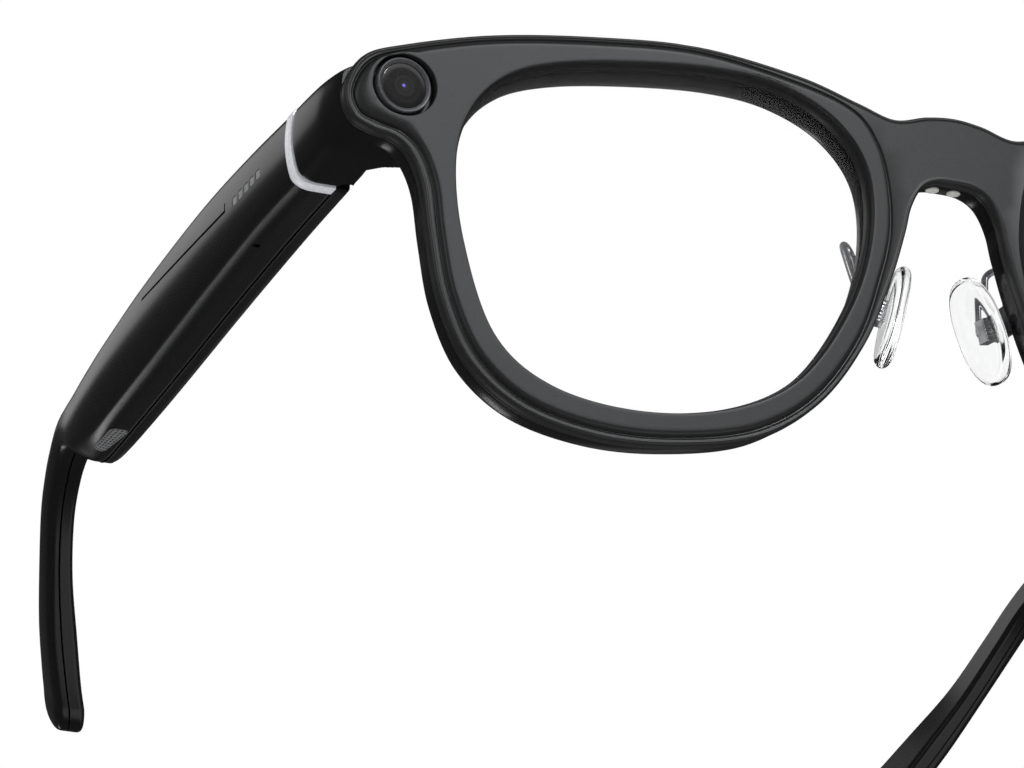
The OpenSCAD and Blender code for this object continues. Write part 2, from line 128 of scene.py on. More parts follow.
def piece(name, data, body, material, nodes=(), sharp=38):
    """A finished object from a mesh: smooth up to the sharp angle in degrees, riding on a body and
    standing for its CAD nodes."""
    obj = linked(name, data)
    data.materials.clear()
    data.materials.append(material)
    data.shade_smooth()
    data.set_sharp_from_angle(angle=math.radians(sharp))
    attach(obj, body)
    if nodes:
        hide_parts(*nodes)
    return obj


def combined(name, parts, operation):
    """One mesh from closed solids: the first one joined with the others (UNION) or cut by them
    (DIFFERENCE)."""
    objs = [linked(f"{name}_{i}", data) for i, data in enumerate(parts)]
    for other in objs[1:]:
        mod = objs[0].modifiers.new("solid", "BOOLEAN")
        mod.operation, mod.solver, mod.object = operation, "EXACT", other
    bpy.context.view_layer.update()
    dg = bpy.context.evaluated_depsgraph_get()
    data = bpy.data.meshes.new_from_object(objs[0].evaluated_get(dg))
    data.name = name
    for obj in objs:
        bpy.data.objects.remove(obj)
    return data


def box_mesh(name, lo, hi, mirror=1, bevel=0.0):
    """A box between two corners in mm, with its edges rounded by bevel."""
    lo, hi = np.array(lo, float), np.array(hi, float)
    corners = [[x, y, z] for x in (lo[0], hi[0]) for y in (lo[1], hi[1]) for z in (lo[2], hi[2])]
    quads = [(0, 1, 3, 2), (4, 6, 7, 5), (0, 4, 5, 1), (2, 3, 7, 6), (0, 2, 6, 4), (1, 5, 7, 3)]
    data = Build().add(corners, quads).mesh(name, mirror)
    if bevel:
        bm = bmesh.new()
        bm.from_mesh(data)
        bmesh.ops.bevel(bm, geom=bm.edges[:], offset=bevel * MM, segments=3, affect="EDGES", profile=0.5)
        bm.to_mesh(data)
        bm.free()
    return data


# -------- outlines
def smooth(points, n, closed=True):
    """Catmull-Rom curve through the points, n steps for each."""
    p = np.asarray(points, float)
    k = len(p)
    out = []
    for i in range(k if closed else k - 1):
        a, b, c, d = (p[(i + s) % k] if closed else p[min(max(i + s, 0), k - 1)] for s in (-1, 0, 1, 2))
        for j in range(n):
            t = j / n
            out.append(0.5 * (2 * b + (c - a) * t + (2 * a - 5 * b + 4 * c - d) * t * t
                              + (3 * b - a - 3 * c + d) * t ** 3))
    if not closed:
        out.append(p[-1])
    return np.array(out)


def normals(loop):
    """Outward normals of a clockwise or anticlockwise closed loop."""
    t = np.roll(loop, -1, 0) - np.roll(loop, 1, 0)
    n = np.stack([t[:, 1], -t[:, 0]], 1)
    n /= np.linalg.norm(n, axis=1)[:, None]
    area = 0.5 * np.sum(loop[:, 0] * np.roll(loop[:, 1], -1) - np.roll(loop[:, 0], -1) * loop[:, 1])
    return n * (1 if area > 0 else -1)


def wrapped(loop, depth):
    """Points of an x, z loop at a depth behind the curved front face."""
    x, z = loop[:, 0], loop[:, 1]
    return np.stack([x, WRAP - np.sqrt(WRAP ** 2 - x ** 2) + depth, z], 1)


def profile(build, loop, steps):
    """Sweeps a profile, (outward offset, depth) pairs, round a loop of the front."""
    n = normals(loop)
    rows = [wrapped(loop + n * np.reshape(o, (-1, 1)), np.asarray(d, float)) for o, d in steps]
    build.grid(rows)


def fill(build, loops, depth, spacing=2.2):
    """Fills the region between an outer loop and its holes at a depth, with points inside it."""
    points = np.concatenate(loops)
    edges, faces, start = [], [], 0
    for loop in loops:
        n = len(loop)
        faces.append(list(range(start, start + n)))
        edges += [(start + i, start + (i + 1) % n) for i in range(n)]
        start += n
    lo, hi = points.min(0), points.max(0)
    gx, gz = np.meshgrid(np.arange(lo[0], hi[0], spacing), np.arange(lo[1], hi[1], spacing))
    inner = np.stack([gx.ravel(), gz.ravel()], 1)
    far = np.min(np.linalg.norm(inner[:, None] - points[None], axis=2), axis=1) > 0.4 * spacing
    inner = inner[far & inside(inner, loops)]
    every = [Vector(p) for p in np.concatenate([points, inner])]
    verts, _, tris, _, _, _ = delaunay_2d_cdt(every, edges, faces, 2, 1e-6)
    flat = np.array([[v.x, v.y] for v in verts])
    build.add(wrapped(flat, depth), [list(t) for t in tris])


def inside(points, loops):
    """True for points inside an odd number of the loops."""
    odd = np.zeros(len(points), bool)
    for loop in loops:
        a, b = loop, np.roll(loop, -1, 0)
        x, z = points[:, None, 0], points[:, None, 1]
        span = (a[:, 1] > z) != (b[:, 1] > z)
        rise = np.where(b[:, 1] == a[:, 1], 1, b[:, 1] - a[:, 1])
        hit = x < (b[:, 0] - a[:, 0]) * (z - a[:, 1]) / rise + a[:, 0]
        odd ^= (np.sum(span & hit, axis=1) % 2).astype(bool)
    return odd


LENS_SHAPE = [
    [-1, .26], [-.96, -.18], [-.81, -.68], [-.54, -.925], [-.133, -1], [.3, -.92], [.637, -.694],
    [.88, -.266], [.992, .166], [.976, .556], [.815, .817], [.548, .964], [.242, 1], [-.145, .964],
    [-.528, .888], [-.774, .77], [-.935, .556]]
HALF_SHAPE = [
    [-3.5, 19.8], [-7.6, 18.8], [-12.2, 20.1], [-19.6, 22.2], [-31.8, 23.7], [-44, 22.9], [-56, 21.2],
    [-66, 18.6], [-70.9, 16.5], [-72.9, 12.4], [-72, 9.2], [-69.7, 7.9], [-67.1, 7.2], [-65.3, 5.6],
    [-63.9, 2.2], [-63, -3.6], [-61.5, -10.8], [-58.2, -17.7], [-52.1, -22.5], [-43.3, -24.6],
    [-34, -24.3], [-24.2, -22], [-16.8, -16.8], [-11.4, -9.1], [-8.1, -1], [-6.3, 5], [-5.5, 8.3],
    [-4.2, 10.8], [-2.4, 11.9]]
PLATE_SHAPE = [
    [-12.9, 18.9], [-19.8, 21.1], [-31.8, 22.8], [-44, 22], [-56, 20.3], [-65.8, 17.7], [-70.1, 15.8],
    [-71.9, 12.3], [-71.1, 9.8], [-69.2, 8.9], [-66.3, 8], [-64.1, 6], [-62.6, 2.1], [-61.8, -3.6],
    [-60.3, -10.6], [-57.1, -17.1], [-51.4, -21.6], [-43.1, -23.6], [-34.2, -23.4], [-24.8, -21.2],
    [-17.6, -16.3], [-12.3, -8.7], [-9.6, -1], [-8.3, 5], [-8.6, 11], [-10, 15.6]]

OPENING = smooth(np.array(LENS_SHAPE) * [24.8, 21.05] - [LENS, 0], 12)
half = [list(p) for p in HALF_SHAPE]
FRONT = smooth([[0, 20.2], *half, [0, 12.1], *[[-x, z] for x, z in reversed(half)]], 9)
FRONT[:, 1] = np.clip(FRONT[:, 1], None, plate_hi.z / MM - ZC - 0.01)
PLATE = smooth(PLATE_SHAPE, 9)
CAM_X, CAM_Z = -66.3, 13.4


def circle(x, z, r, n=64):
    """Loop of n points."""
    a = np.linspace(0, 2 * math.pi, n, endpoint=False)
    return np.stack([x + r * np.cos(a), z + r * np.sin(a)], 1)


def flip(loop):
    """The loop mirrored to the other side, turning the same way."""
    return (loop * [-1, 1])[::-1]


CORNER_X, CORNER_Z = 71.5, 12.2     # where the front's outer top corner is roundest
CORNER_REACH, CORNER_FADE = 9.5, 6  # how far the corner's shape goes, and over what length it fades


def corner_weight(loop, sign):
    """1 near the outer top corner of the front, falling to 0 on the straight rim."""
    far = np.hypot(loop[:, 0] - sign * CORNER_X, loop[:, 1] - CORNER_Z)
    near = np.clip((CORNER_REACH - far) / CORNER_FADE, 0, 1)
    return near ** 2 * (3 - 2 * near)


# -------- front shell
LEDGE = 0.5        # depth of the ledge round the raised surround
SHELL_BACK = 2.4
EDGE = 0.15        # how far inside its outline the surround's shoulder starts
POCKET_EDGE = 3.82
# (radius, depth) rings of the two round pockets
CAMERA_POCKET = [(3.77, 0), (3.74, 0), (3.69, 0.02), (3.66, 0.06), (3.65, 0.12), (3.65, 1.35), (3.6, 1.5),
                 (2.4, 1.55), (2.4, SHELL_BACK)]
LIGHT_POCKET = [(1.35, 0), (1.1, 0), (1.0, 0.03), (0.96, 0.09), (0.95, 0.2), (0.95, SHELL_BACK)]


def front_shell():
    """The satin front: a raised surround on a ledge, with the lens openings and the two pockets."""
    b = Build()
    ledge_holes, back_holes = [], []
    for sign in (1, -1):
        plate = PLATE if sign == 1 else flip(PLATE)
        opening = OPENING if sign == 1 else flip(OPENING)
        w = corner_weight(plate, -sign)
        room = np.hypot(plate[:, 0] - sign * CAM_X, plate[:, 1] - CAM_Z) - POCKET_EDGE
        roll = np.clip(0.5 + 1.9 * w, 0.12, np.maximum(room - 0.3, 0.12))  # width of the rolled shoulder
        guard = np.clip(room - 0.17 - roll, 0.04, 0.3)  # flat strip kept inside the shoulder
        drop = 0.42 + 0.32 * w                    # how far it falls before the cove
        a = np.linspace(0, math.pi / 2, 8)
        steps = [(-EDGE - roll - guard, 0), (-EDGE - roll, 0)]
        steps += [(-EDGE - roll + roll * math.sin(t), drop * (1 - math.cos(t))) for t in a[1:-1]]
        steps += [(-0.13, drop), (-0.06, drop + 0.13), (0.02, LEDGE + 0.16 + 0.1 * w)]
        steps += [(0.12, LEDGE + 0.14 + 0.1 * w), (0.22, LEDGE + 0.02 + 0.1 * w), (0.3, LEDGE - 0.02)]
        steps += [(0.36, LEDGE)]
        profile(b, plate, steps)
        n = normals(plate)
        ledge_holes.append(plate + n * 0.36)
        top = plate + n * (-EDGE - roll - guard)[:, None]
        lip = [(0.45, 0), (0.2, 0), (0.13, 0.01), (0.05, 0.05), (0.01, 0.12), (0, 0.2), (0, 0.85)]
        lip += [(-0.02, 0.92), (-0.1, 0.97), (-0.22, 1.0), (-0.3, 1.05), (-0.32, 1.14), (-0.32, 2.0)]
        lip += [(-0.26, 2.16), (-0.1, 2.2), (0.25, 2.22), (0.5, 2.3), (0.5, SHELL_BACK), (0.8, SHELL_BACK)]
        profile(b, opening, lip)
        m = normals(opening)
        holes = [opening + m * 0.45]
        unit = circle(sign * CAM_X, CAM_Z, 1)
        c = unit.mean(0)
        pocket = CAMERA_POCKET if sign == 1 else LIGHT_POCKET
        rings = [c + (unit - c) * r for r, _ in pocket]
        b.grid([wrapped(ring, d) for ring, (_, d) in zip(rings, pocket)])
        back_holes.append(rings[-1])
        holes.append(rings[0])
        fill(b, [top, *holes], 0)
        back_holes.append(opening + m * 0.8)
    outer = [(-0.62, LEDGE), (-0.5, LEDGE), (-0.44, LEDGE - 0.03), (-0.34, LEDGE - 0.07)]
    outer += [(-0.22, LEDGE - 0.04), (-0.1, LEDGE + 0.07), (-0.02, LEDGE + 0.24), (0, LEDGE + 0.42), (0, 1.5)]
    outer += [(-0.03, 1.62), (-0.12, 1.68), (-0.16, 1.76), (-0.12, 1.84), (-0.06, 1.9)]
    outer += [(-0.04, 2.1), (-0.1, 2.24), (-0.25, 2.33), (-0.5, 2.36), (-0.6, SHELL_BACK), (-0.9, SHELL_BACK)]
    profile(b, FRONT, outer)
    n = normals(FRONT)
    fill(b, [FRONT + n * -0.62, *ledge_holes], LEDGE)
    fill(b, [FRONT + n * -0.9, *back_holes], SHELL_BACK, 4)
    return b.mesh("front_shell")


# -------- arm sections
def smin(a, b, k):
    """Smooth minimum: the smaller of two, blended where they differ by less than k."""
    h = np.maximum(k - np.abs(a - b), 0) / k
    return np.minimum(a, b) - h * h * k / 4


def plane_hit(angles, nx, nv, distance):
    """How far along each angle a ray meets the line n.p = distance."""
    d = np.cos(angles) * nx + np.sin(angles) * nv
    return np.where(d > 1e-4, distance / np.maximum(d, 1e-4), 1e3)


def circle_hit(angles, cx, cv, r):
    """How far along each angle a ray from inside meets the circle."""
    b = np.cos(angles) * cx + np.sin(angles) * cv
    return b + np.sqrt(np.maximum(b * b - (cx * cx + cv * cv - r * r), 0))


# Stations of an arm: top y, z; bottom y, z; outer x; inner x; bulge; roundness of the four corners
# (top outer, bottom outer, bottom inner, top inner); parting x
STATIONS = [
    [17.3, 16.4, 17.3, 6.25, -74.28, -67.0, 1.0, 4.6, 2.1, .5, .5, -68.7],
    [30, 16.5, 30, 5.75, -74.55, -66.97, 1.0, 4.6, 2.1, .5, .5, -68.7],
    [44, 16.5, 44, 4.9, -74.62, -66.94, 1.1, 4.4, 2.1, .5, .5, -68.7],
    [57, 16.0, 57, 3.95, -74.62, -66.92, 1.2, 4.8, 2.1, .5, .5, -68.7],
    [73, 14.75, 73, 2.65, -74.55, -66.9, 1.3, 5.2, 2.1, .5, .5, -68.7],
    [87, 13.0, 87, 1.65, -74.36, -66.9, 1.3, 5.6, 2.0, .5, .5, -68.7],
    [96, 11.75, 95, 1.1, -74.05, -66.98, 1.2, 5.8, 2.6, .6, .5, -68.7],
    [101, 11.0, 100, .9, -73.75, -67.1, 1.0, 5.6, 4.2, 1.0, .5, -68.7],
    [104.5, 10.45, 103, 1.35, -73.5, -67.25, .8, 5.0, 4.0, 1.4, .6, -68.7],
    [108, 9.85, 105.6, 3.0, -73.1, -67.4, .6, 4.0, 3.4, 1.6, .8, -68.85],
    [112, 9.0, 108.2, 5.0, -72.5, -67.5, .4, 2.4, 2.2, 1.4, .9, -69.3],
    [116.5, 7.7, 111.5, 5.4, -71.75, -67.4, .3, 1.7, 1.6, 1.3, 1.0, -69.5],
    [121, 5.6, 116.4, 3.6, -70.95, -67.0, .3, 1.4, 1.4, 1.2, 1.1, -68.95],
    [126, 2.2, 121.7, -.2, -69.85, -66.1, .3, 1.4, 1.4, 1.2, 1.2, -68.0],
    [132.5, -3.2, 127.9, -5.9, -67.85, -64.1, .3, 1.4, 1.4, 1.3, 1.2, -66.1],
    [139.3, -8.3, 134.3, -12.0, -65.55, -61.2, .3, 1.4, 1.4, 1.4, 1.2, -63.5],
    [145.2, -12.4, 139.3, -16.8, -63.2, -58.85, .3, 1.6, 1.6, 1.5, 1.3, -61.1],
    [148.6, -14.4, 142.0, -19.3, -61.8, -57.4, .3, 1.8, 1.8, 1.6, 1.4, -59.7]]
PART_X = 11                      # index of the parting x in a station
TIP_X, TIP_REACH = -58.7, 3.9    # x of the tip, and how far it reaches past the last station
OUTER, INNER = "outer", "inner"


def section_frame(s):
    """Middle, half height and upward direction of a station's section, in y and z."""
    top, bottom = np.array(s[0:2]), np.array(s[2:4])
    up = (top - bottom) / np.linalg.norm(top - bottom)
    return (top + bottom) / 2, np.linalg.norm(top - bottom) / 2, up


def radius(s, angles, grow=0.0):
    """Distance of the section's surface from its middle, at angles from -x (outer) turning up."""
    _, h, _ = section_frame(s)
    xo, xi, bulge = s[4], s[5], s[6]
    to, bo, bi, ti = s[7:11]
    px = s[PART_X]
    out, inn = px - xo + grow, xi - px + grow
    hh = h + grow
    big = (hh * hh + bulge * bulge) / (2 * max(bulge, 0.05))
    side = circle_hit(angles, out - big, 0.12 * hh, big)
    top = plane_hit(angles, 0, 1, hh)
    bottom = plane_hit(angles, 0, -1, hh)
    inner = plane_hit(angles, -1, 0, inn)
    r = smin(side, top, to)
    r = smin(r, bottom, bo)
    r = smin(r, inner, np.where(np.sin(angles) > 0, ti, bi))
    return r


SEAM = 0.15                         # from the parting x to the edge of each half
LIP = [(0.06, 0.03), (0.1, 0.1)]    # steps past that edge, sideways and outwards


def section(s, part, count, grow=0.0):
    """Closed x, v loop of the outer or inner half of an arm's section, evenly spaced, with a small
    lip at both ends that makes the parting line's groove."""
    if part == OUTER:
        a = np.linspace(math.pi / 2, -math.pi / 2, count)
    else:
        a = np.linspace(-math.pi / 2, -3 * math.pi / 2, count)
    even = np.linspace(0, 1, 4 * count)
    fine = a[0] + (a[-1] - a[0]) * even
    rr = radius(s, fine, grow)
    pts = np.stack([s[PART_X] - rr * np.cos(fine), rr * np.sin(fine)], 1)
    run = np.concatenate([[0], np.cumsum(np.linalg.norm(np.diff(pts, axis=0), axis=1))])
    want = np.linspace(0, run[-1], count)
    pts = np.stack([np.interp(want, run, pts[:, 0]), np.interp(want, run, pts[:, 1])], 1)
    sgn = -1 if part == OUTER else 1
    pts[0, 0] = pts[-1, 0] = s[PART_X] + sgn * SEAM
    head = [[pts[0, 0] - sgn * across, pts[0, 1] - down] for across, down in LIP[::-1]]
    tail = [[pts[-1, 0] - sgn * across, pts[-1, 1] + up] for across, up in LIP]
    return np.array(head + pts.tolist() + tail)


def place(s, loop):
    """The points of a station's x, v loop in the model."""
    middle, _, up = section_frame(s)
    return np.stack([loop[:, 0], middle[0] + loop[:, 1] * up[0], middle[1] + loop[:, 1] * up[1]], 1)


def tip_rows(part, count):
    """Rounded end of the hook: sections that shrink along a quarter turn."""
    last = np.array(STATIONS[-1])
    middle, _, up = section_frame(last)
    ahead = np.array([up[1], -up[0]])
    full = section(last, part, count)
    rows = []
    for t in np.linspace(0, 1, 13)[1:]:
        a = t * math.pi / 2
        shrink = max(math.cos(a), 0.02)
        centre = middle + ahead * TIP_REACH * math.sin(a)
        drift = (TIP_X - last[PART_X]) * math.sin(a)
        x = last[PART_X] + drift + (full[:, 0] - last[PART_X]) * (0.25 + 0.75 * shrink ** 0.4)
        v = full[:, 1] * (0.15 + 0.85 * shrink ** 0.7)
        rows.append(np.stack([x, centre[0] + v * up[0], centre[1] + v * up[1]], 1))
    return rows


FINE = smooth(STATIONS, 7, closed=False)
ARM_START = 0.15    # gap behind the joint line
ARM_POINTS = 44


def arm_half(name, part, mirror):
    """Lofted half of an arm, from just behind the joint line to the rounded tip."""
    first = FINE[0].copy()
    first[[0, 2]] += ARM_START
    edge = [place(first, section(first, part, ARM_POINTS, g)) for g in (-0.2, -0.06)]
    edge[1][:, 1] += 0.02
    full = first.copy()
    full[[0, 2]] += 0.14
    body = [place(full, section(first, part, ARM_POINTS))]
    body += [place(s, section(s, part, ARM_POINTS)) for s in FINE if s[0] > first[0] + 0.3]
    return Build().loft(edge + body + tip_rows(part, ARM_POINTS)).mesh(name, mirror)


def trim_band(name, mirror):
    """Bright C-shaped band round the front end of an arm."""
    s = FINE[0]
    lo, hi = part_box("trim_ring_right")
    ya, yb = lo.y / MM - Y0, hi.y / MM - Y0
    count = 72
    b = Build()
    rows = []
    for y, grow in ((ya, -0.85), (ya, 0.02), (ya + 0.03, 0.08), (ya + 0.1, 0.12), (ya + 0.9, 0.14),
                    (yb - 0.1, 0.12), (yb - 0.03, 0.08), (yb, 0.02), (yb, -0.85)):
        here = s.copy()
        here[[0, 2]] = y
        a = np.linspace(math.pi / 2, -math.pi / 2, count)
        rr = radius(here, a, grow)
        mid, _, up = section_frame(here)
        x = here[PART_X] - rr * np.cos(a)
        v = rr * np.sin(a)
        x[0] = x[-1] = here[PART_X] - 0.06
        rows.append(np.stack([x, np.full(count, y), mid[1] + v], 1))
    b.grid(rows, close_u=False, close_v=True)
    for i in (0, -1):
        b.cap([r[i] for r in rows])
    return b.mesh(name, mirror)


# -------- rear frame
# The end block's inner wall: depths and the x there
INNER_WALL = ([3, 7.6, 9.3, 10.6, 11.4, 12.6, 17], [-59.5, -59.5, -60.2, -62.4, -65.2, -66.8, -67.0])


BLOCK_FRONT, BLOCK_BACK = 2.6, 17
WRAP_FADE = 8     # depth over which the block loses the wrap of the front


def end_block(name, mirror):
    """Corner block behind the front: the arm's section carried forward, narrowing towards the rim."""
    a = np.linspace(math.pi, -math.pi, 144, endpoint=False)
    rows = []
    # depth, and how much the section grows there
    levels = [(BLOCK_FRONT, -0.3), (3.2, -0.1), (4.2, -0.02), (5.5, 0), (7, 0), (7.8, 0), (8.6, 0)]
    levels += [(y, 0) for y in np.linspace(9.1, 13, 27)]
    levels += [(13.6, 0), (14.4, 0), (15.2, 0), (16, 0), (16.6, 0)]
    levels += [(16.8, -0.02), (16.92, -0.08), (16.98, -0.25)]
    for y, grow in levels:
        s = FINE[0].copy()
        t = (BLOCK_BACK - y) / BLOCK_BACK
        s[[0, 2]] = y
        s[1], s[3], s[4] = 16.4 + 0.5 * t, 6.25 + 2.4 * t, -74.28 + 1.3 * t * t + 0.35 * t
        mid, h, _ = section_frame(s)
        big = (h * h + 1.0) / 2
        side = circle_hit(a, s[PART_X] - s[4] - big, 0.12 * h, big)
        r = smin(side, plane_hit(a, 0, 1, h), s[7])
        r = smin(r, plane_hit(a, 0, -1, h), s[8]) + grow
        wall = np.interp(y, *INNER_WALL)
        r = smin(r, plane_hit(a, -1, 0, wall - s[PART_X] + grow), 0.6)
        x = s[PART_X] - r * np.cos(a)
        start = WRAP - np.sqrt(WRAP ** 2 - x ** 2) + SHELL_BACK - 0.3
        k = np.clip((y - BLOCK_FRONT) / WRAP_FADE, 0, 1)
        ahead = (start - BLOCK_FRONT) * (1 - k * k * (3 - 2 * k))
        rows.append(np.stack([x, y + ahead, mid[1] + r * np.sin(a)], 1))
    return Build().loft(rows).mesh(name, mirror)


REAR_FRONT, REAR_BACK = 2.46, 5.6


def rear_ring():
    """The glossy rims and bridge behind the front shell, with the step that holds each lens."""
    b = Build()
    front_holes, back_holes = [], []
    for sign in (1, -1):
        opening = (OPENING if sign == 1 else flip(OPENING)) + [0.4 * sign, -0.8]
        m = normals(opening)
        inner = [(0.9, REAR_FRONT), (0.78, REAR_FRONT), (0.72, 2.52), (0.7, 2.62), (0.7, 3.95), (0.6, 4.0)]
        inner += [(0.1, 4.02), (-0.02, 4.06), (-0.08, 4.16), (-0.1, 4.3), (-0.1, 5.0), (-0.05, 5.25)]
        inner += [(0.1, 5.45), (0.3, 5.56), (0.55, REAR_BACK), (0.8, REAR_BACK)]
        profile(b, opening, inner)
        front_holes.append(opening + m * 0.9)
        back_holes.append(opening + m * 0.8)
    outer = [(-0.9, REAR_FRONT), (-0.6, REAR_FRONT), (-0.42, 2.52), (-0.33, 2.64), (-0.3, 2.8), (-0.3, 4.6)]
    outer += [(-0.34, 4.9), (-0.46, 5.2), (-0.68, 5.44), (-0.95, 5.57), (-1.2, REAR_BACK), (-1.45, REAR_BACK)]
    profile(b, FRONT, outer)
    n = normals(FRONT)
    fill(b, [FRONT + n * -0.9, *front_holes], REAR_FRONT, 5)
    fill(b, [FRONT + n * -1.45, *back_holes], REAR_BACK, 3)
    return b.mesh("rear_ring")


# -------- turned and swept parts
def turned(name, outline, mirror):
    """A lathe part: outline of (radius, height in front) pairs, turned about the camera's axis, which
    stands square on the wrapped front face."""
    tilt = math.asin(CAM_X / WRAP)
    ax = np.array([-math.sin(tilt), -math.cos(tilt), 0.0])
    side = np.array([math.cos(tilt), -math.sin(tilt), 0.0])
    upward = np.array([0.0, 0.0, 1.0])
    origin = np.array([CAM_X, WRAP - math.sqrt(WRAP ** 2 - CAM_X ** 2), CAM_Z])
    a = np.linspace(0, 2 * math.pi, 96, endpoint=False)
    rows = []
    for r, h in outline:
        rows.append(origin + ax * h + np.outer(np.cos(a) * r, side) + np.outer(np.sin(a) * r, upward))
    return Build().loft(rows).mesh(name, mirror)


def tube(name, path, r, mirror):
    """A round wire along a smooth path, with rounded ends."""
    p = np.asarray(path, float)
    t = np.gradient(p, axis=0)
    t /= np.linalg.norm(t, axis=1)[:, None]
    ref = np.cross(t[0], [0.3, 0.9, 0.1])
    ref /= np.linalg.norm(ref)
    a = np.linspace(0, 2 * math.pi, 16, endpoint=False)
    rows = []
    for i in range(len(p)):
        ref = ref - t[i] * (ref @ t[i])
        ref /= np.linalg.norm(ref)
        other = np.cross(t[i], ref)
        rows.append(p[i] + r * (np.outer(np.cos(a), ref) + np.outer(np.sin(a), other)))
    round_off = (0.15, 0.7, 1.2)
    head = [p[0] + (rows[0] - p[0]) * math.sin(k) - t[0] * r * math.cos(k) for k in round_off]
    tail = [p[-1] + (rows[-1] - p[-1]) * math.sin(k) + t[-1] * r * math.cos(k) for k in round_off[::-1]]
    return Build().loft(head + rows + tail).mesh(name, mirror)


# -------- materials
def tree(name):
    """A new material with its nodes, its shader and its object coordinates."""
    mat = bpy.data.materials.new(name)
    mat.use_nodes = True
    nt = mat.node_tree
    bsdf = nt.nodes["Principled BSDF"]
    coord = nt.nodes.new("ShaderNodeTexCoord")
    return mat, nt, bsdf, coord.outputs["Object"]


def noise(nt, where, scale, detail=2.0):
    """Value of a noise texture."""
    n = nt.nodes.new("ShaderNodeTexNoise")
    n.inputs["Scale"].default_value = scale
    n.inputs["Detail"].default_value = detail
    nt.links.new(where, n.inputs["Vector"])
    return n.outputs["Fac"]


def spread(nt, value, lo, hi, start=0.3, end=0.7):
    """The value between start and end, mapped to lo and hi."""
    m = nt.nodes.new("ShaderNodeMapRange")
    m.inputs["From Min"].default_value, m.inputs["From Max"].default_value = start, end
    m.inputs["To Min"].default_value, m.inputs["To Max"].default_value = lo, hi
    nt.links.new(value, m.inputs["Value"])
    return m.outputs["Result"]


def two_tone(nt, value, dark, light):
    """A colour that runs from dark to light with the value."""
    r = nt.nodes.new("ShaderNodeValToRGB")
    r.color_ramp.elements[0].position, r.color_ramp.elements[1].position = 0.35, 0.65
    r.color_ramp.elements[0].color, r.color_ramp.elements[1].color = (*dark, 1), (*light, 1)
    nt.links.new(value, r.inputs["Fac"])
    return r.outputs["Color"]


def bump(nt, bsdf, value, strength, distance):
    """Fine relief from the value; the distance is in metres."""
    b = nt.nodes.new("ShaderNodeBump")
    b.inputs["Strength"].default_value, b.inputs["Distance"].default_value = strength, distance
    nt.links.new(value, b.inputs["Height"])
    nt.links.new(b.outputs["Normal"], bsdf.inputs["Normal"])


def surface(name, dark, light, rough, grain, bump_by, metallic=0.0, **sockets):
    """Fine-grained solid finish: colour speckle, roughness that drifts and a matching bump."""
    mat, nt, bsdf, at = tree(name)
    fine, broad = noise(nt, at, grain, 3), noise(nt, at, 25, 3)
    nt.links.new(two_tone(nt, fine, dark, light), bsdf.inputs["Base Color"])
    nt.links.new(spread(nt, broad, *rough), bsdf.inputs["Roughness"])
    bump(nt, bsdf, fine, *bump_by)
    bsdf.inputs["Metallic"].default_value = metallic
    for key, value in sockets.items():
        bsdf.inputs[key.replace("_", " ")].default_value = value
    return mat


# name, dark and light tone, range of roughness, grain scale, bump strength and distance, metallic
SATIN = surface("satin_shell", (.009, .0092, .0098), (.015, .0153, .016), (.40, .47), 5200, (.22, 2e-5))
GLOSS = surface("gloss_black", (.0032, .0033, .0036), (.0052, .0053, .0057), (.2, .25), 3800, (.015, 3e-6))
DARK = surface("dark_metal", (.035, .036, .04), (.06, .061, .066), (.28, .36), 2600, (.08, 6e-6), .75)
BRIGHT = surface("bright_wire", (.62, .63, .66), (.74, .75, .78), (.1, .15), 1400, (.03, 4e-6), .8)
SILVER = surface("silver_trim", (.76, .77, .81), (.88, .89, .93), (.3, .38), 2400, (.06, 6e-6), .35)
PAD_METAL = surface("pad_metal", (.3, .3, .31), (.42, .42, .43), (.25, .34), 2200, (.1, 8e-6), .9)
CONTACT = surface("contact_metal", (.6, .6, .58), (.72, .72, .69), (.3, .4), 2600, (.08, 6e-6), .25)
BOARD = surface("circuit_board", (.008, .06, .035), (.014, .09, .05), (.3, .4), 900, (.2, 2e-5))
PLASTIC = surface("black_plastic", (.006, .006, .0065), (.011, .011, .012), (.4, .5), 2600, (.1, 1e-5))
CAN = surface("battery_can", (.42, .43, .44), (.55, .56, .57), (.35, .45), 700, (.2, 2e-5), .9)
MESH = surface("grille_mesh", (.13, .131, .135), (.18, .181, .186), (.3, .4), 3000, (.1, 8e-6), .2)
GUIDE = surface("light_guide", (.13, .133, .137), (.19, .193, .197), (.3, .4), 1800, (.1, 1e-5),
                Subsurface_Weight=.1)
RING = surface("camera_ring_metal", (.055, .056, .06), (.08, .081, .086), (.3, .36), 2600, (.06, 6e-6), .45)


def clear(name, tint, rough, ior, alpha=1.0, weight=1.0, wave=900):
    """Clear finish with a faint swirl in its tint and roughness."""
    mat, nt, bsdf, at = tree(name)
    swirl = noise(nt, at, wave, 2)
    nt.links.new(two_tone(nt, swirl, tint, (1, 1, 1)), bsdf.inputs["Base Color"])
    nt.links.new(spread(nt, swirl, rough, rough + 0.02), bsdf.inputs["Roughness"])
    bsdf.inputs["Transmission Weight"].default_value = weight
    bsdf.inputs["IOR"].default_value = ior
    bsdf.inputs["Alpha"].default_value = alpha
    return mat


LENS_CLEAR = clear("clear_lens", (.97, .98, .98), 0.02, 1.5, alpha=0.02, weight=0.0, wave=30)
SILICONE = clear("clear_silicone", (.95, .96, .96), 0.02, 1.43)


